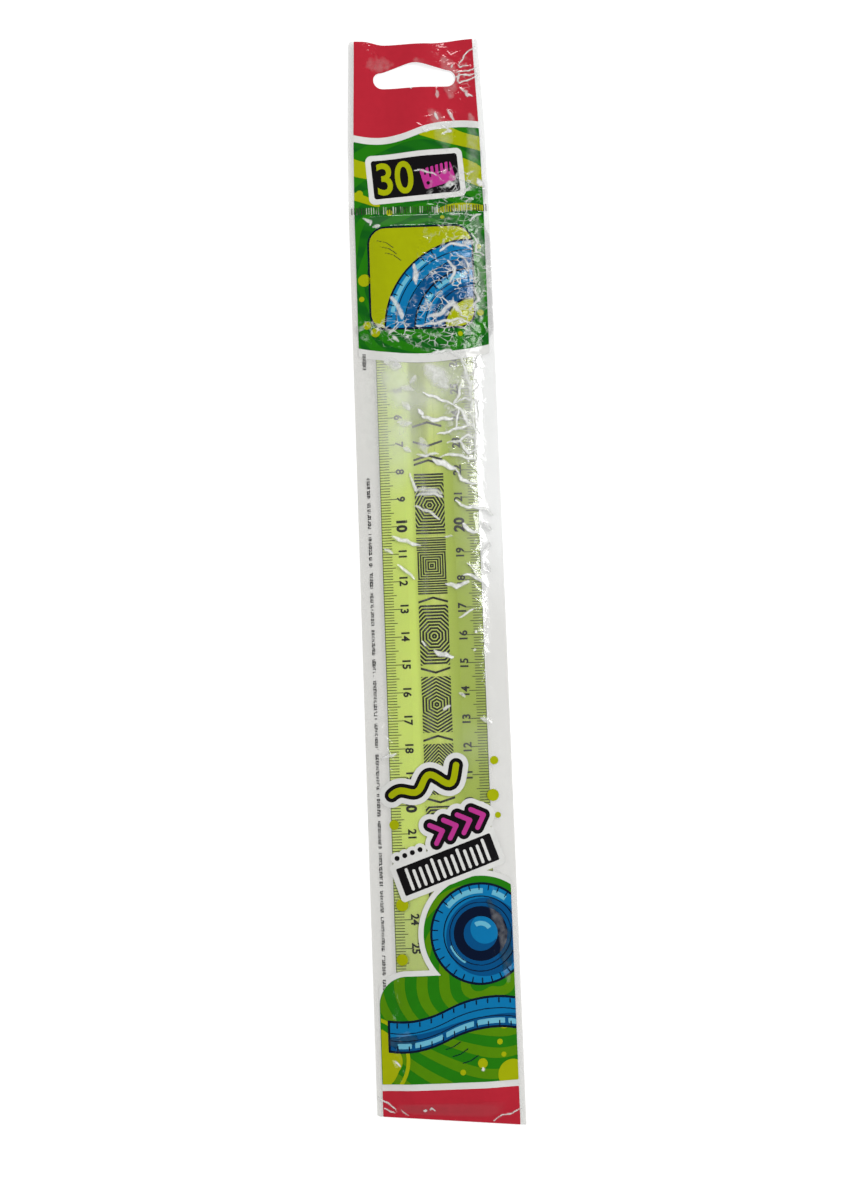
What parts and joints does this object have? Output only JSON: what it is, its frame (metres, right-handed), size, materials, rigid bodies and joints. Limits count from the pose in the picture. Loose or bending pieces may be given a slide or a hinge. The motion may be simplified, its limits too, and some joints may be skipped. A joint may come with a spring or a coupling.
{
  "type": "flexible ruler",
  "caption": "Flexible translucent ruler with a scale along each bevelled edge, loose inside a clear printed pouch with a hang hole in its header.",
  "frame": {"origin": "middle of the pouch's box, on the surface its back lies on", "axes": "+X across the pouch, +Y along it towards the hang hole, +Z out of the printed front"},
  "size_m": [0.052, 0.3952, 0.0033],
  "materials": {
    "clear_film": "clear gloss film",
    "weld_film": "crimped clear film",
    "red_ink": "printed film, gloss",
    "white_ink": "printed film, gloss",
    "green_ink": "printed film, gloss",
    "lime_ink": "printed film, gloss",
    "black_ink": "printed film, gloss",
    "navy_ink": "printed film, gloss",
    "blue_ink": "printed film, gloss",
    "ruler_plastic": "soft translucent plastic",
    "scale_ink": "printed ink"
  },
  "bodies": {
    "pouch": {"back_web": "clear_film", "front_web": "clear_film", "header_weld": "weld_film", "header_red_print": "red_ink", "header_white_band": "white_ink", "upper_green_print": "green_ink", "upper_lime_swirls": "lime_ink", "upper_white_band": "white_ink", "size_plate_border": "white_ink", "size_plate": "black_ink", "motif_ground": "lime_ink", "motif_outline": "navy_ink", "motif_bands": "blue_ink", "name_plate_borders": "white_ink", "name_plates": "black_ink", "lower_white_border": "white_ink", "lower_green_print": "green_ink", "lower_lime_swirls": "lime_ink", "lower_band_outline": "navy_ink", "lower_bands": "blue_ink", "foot_white_band": "white_ink", "foot_red_print": "red_ink"},
    "ruler": {"ruler_strip": "ruler_plastic", "left_scale_marks": "scale_ink", "right_scale_marks": "scale_ink"}
  },
  "joints": [
    {"name": "ruler_slide", "type": "slide", "parent": "pouch", "child": "ruler", "axis": [0, 1, 0], "range_m": [0, 0.008]}
  ]
}
